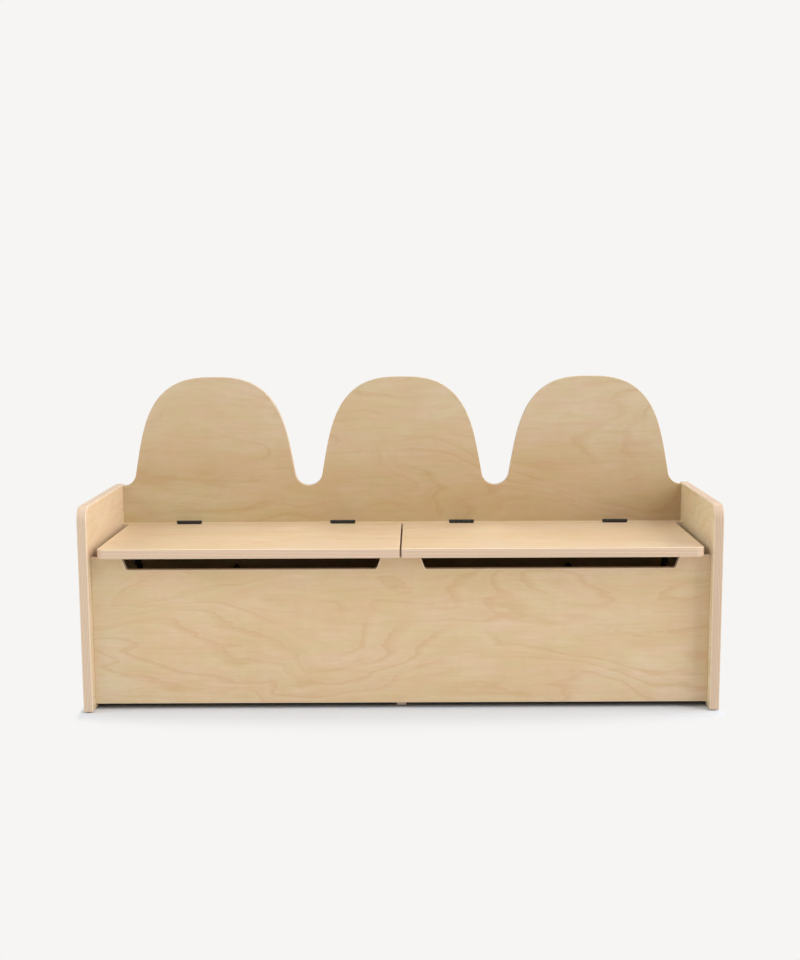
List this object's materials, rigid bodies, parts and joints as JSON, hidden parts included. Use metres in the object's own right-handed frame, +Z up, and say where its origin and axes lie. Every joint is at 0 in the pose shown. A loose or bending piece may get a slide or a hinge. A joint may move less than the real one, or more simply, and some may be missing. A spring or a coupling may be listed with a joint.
{
  "type": "toy box bench",
  "caption": "Plywood toy box bench with a humped backrest, hinged seat lids over divided compartments, side panels as armrests and telescopic lid stays.",
  "frame": {"origin": "on the floor, at the middle of the bench's footprint", "axes": "+X along the bench towards its right-hand end as seen from the front, +Y from the open front towards the backrest and the wall, +Z up"},
  "size_m": [1.2, 0.39, 0.613],
  "materials": {
    "birch_plywood": "clear satin lacquer on rotary-cut birch faces, edges sanded and lacquered",
    "black_hinge_steel": "satin black",
    "black_steel_plate": "satin black powder coat",
    "stay_tube_paint": "gloss black",
    "stay_rod_steel": "polished",
    "black_plastic": "matte moulded plastic",
    "bumper_rubber": "matte",
    "glide_plastic": "matte moulded plastic",
    "beech": "bare, fluted dowel rod",
    "zinc_casting": "bare zinc die casting",
    "bright_screw_steel": "zinc plated",
    "black_screw_steel": "black oxide"
  },
  "bodies": {
    "bench_frame": {"left_side_panel": "birch_plywood", "right_side_panel": "birch_plywood", "backrest_panel": "birch_plywood", "front_panel": "birch_plywood", "centre_divider": "birch_plywood", "left_base_board": "birch_plywood", "right_base_board": "birch_plywood", "hinge_rail": "birch_plywood", "left_outer_hinge_rail_leaf": "black_hinge_steel", "left_inner_hinge_rail_leaf": "black_hinge_steel", "right_inner_hinge_rail_leaf": "black_hinge_steel", "right_outer_hinge_rail_leaf": "black_hinge_steel", "left_outer_hinge_pin": "black_hinge_steel", "left_inner_hinge_pin": "black_hinge_steel", "right_inner_hinge_pin": "black_hinge_steel", "right_outer_hinge_pin": "black_hinge_steel", "left_stay_back_bracket": "black_steel_plate", "right_stay_back_bracket": "black_steel_plate", "left_wall_plate": "black_steel_plate", "right_wall_plate": "black_steel_plate", "rail_hinge_screws": "black_screw_steel", "back_bracket_screws": "black_screw_steel", "cam_fittings": "zinc_casting", "cam_bolts": "bright_screw_steel", "dowels": "beech", "rail_screws": "bright_screw_steel", "floor_glides": "glide_plastic"},
    "left_lid": {"left_lid": "birch_plywood", "left_outer_hinge_lid_leaf": "black_hinge_steel", "left_inner_hinge_lid_leaf": "black_hinge_steel", "left_stay_lid_bracket": "black_steel_plate", "left_lid_hinge_screws": "black_screw_steel", "left_lid_bracket_screws": "black_screw_steel", "left_lid_bumpers": "bumper_rubber"},
    "right_lid": {"right_lid": "birch_plywood", "right_inner_hinge_lid_leaf": "black_hinge_steel", "right_outer_hinge_lid_leaf": "black_hinge_steel", "right_stay_lid_bracket": "black_steel_plate", "right_lid_hinge_screws": "black_screw_steel", "right_lid_bracket_screws": "black_screw_steel", "right_lid_bumpers": "bumper_rubber"},
    "left_stay_tube": {"left_stay_tube": "stay_tube_paint"},
    "right_stay_tube": {"right_stay_tube": "stay_tube_paint"},
    "left_stay_rod": {"left_stay_rod": "stay_rod_steel", "left_stay_ball_end": "black_plastic"},
    "right_stay_rod": {"right_stay_rod": "stay_rod_steel", "right_stay_ball_end": "black_plastic"}
  },
  "joints": [
    {"name": "left_lid_hinge", "type": "hinge", "parent": "bench_frame", "child": "left_lid", "pos_m": [-0.282, 0.1495, 0.3162], "axis": [-1, 0, 0], "range_deg": [0, 90]},
    {"name": "right_lid_hinge", "type": "hinge", "parent": "bench_frame", "child": "right_lid", "pos_m": [0.282, 0.1495, 0.3162], "axis": [-1, 0, 0], "range_deg": [0, 90]},
    {"name": "left_stay_pivot", "type": "hinge", "parent": "bench_frame", "child": "left_stay_tube", "pos_m": [-0.525, 0.1595, 0.1012], "axis": [-1, 0, 0], "range_deg": [0, 30.67]},
    {"name": "left_stay_slide", "type": "slide", "parent": "left_stay_tube", "child": "left_stay_rod", "axis": [0, -0.6751, 0.7378], "range_m": [0, 0.14505]},
    {"name": "right_stay_pivot", "type": "hinge", "parent": "bench_frame", "child": "right_stay_tube", "pos_m": [0.525, 0.1595, 0.1012], "axis": [-1, 0, 0], "range_deg": [0, 30.67]},
    {"name": "right_stay_slide", "type": "slide", "parent": "right_stay_tube", "child": "right_stay_rod", "axis": [0, -0.6751, 0.7378], "range_m": [0, 0.14505]}
  ],
  "couplings": [
    {"joint": "left_stay_pivot", "follows": "left_lid_hinge", "ratio": 0.34078},
    {"joint": "left_stay_slide", "follows": "left_lid_hinge", "m_per_rad": 0.092341},
    {"joint": "right_stay_pivot", "follows": "right_lid_hinge", "ratio": 0.34078},
    {"joint": "right_stay_slide", "follows": "right_lid_hinge", "m_per_rad": 0.092341}
  ]
}
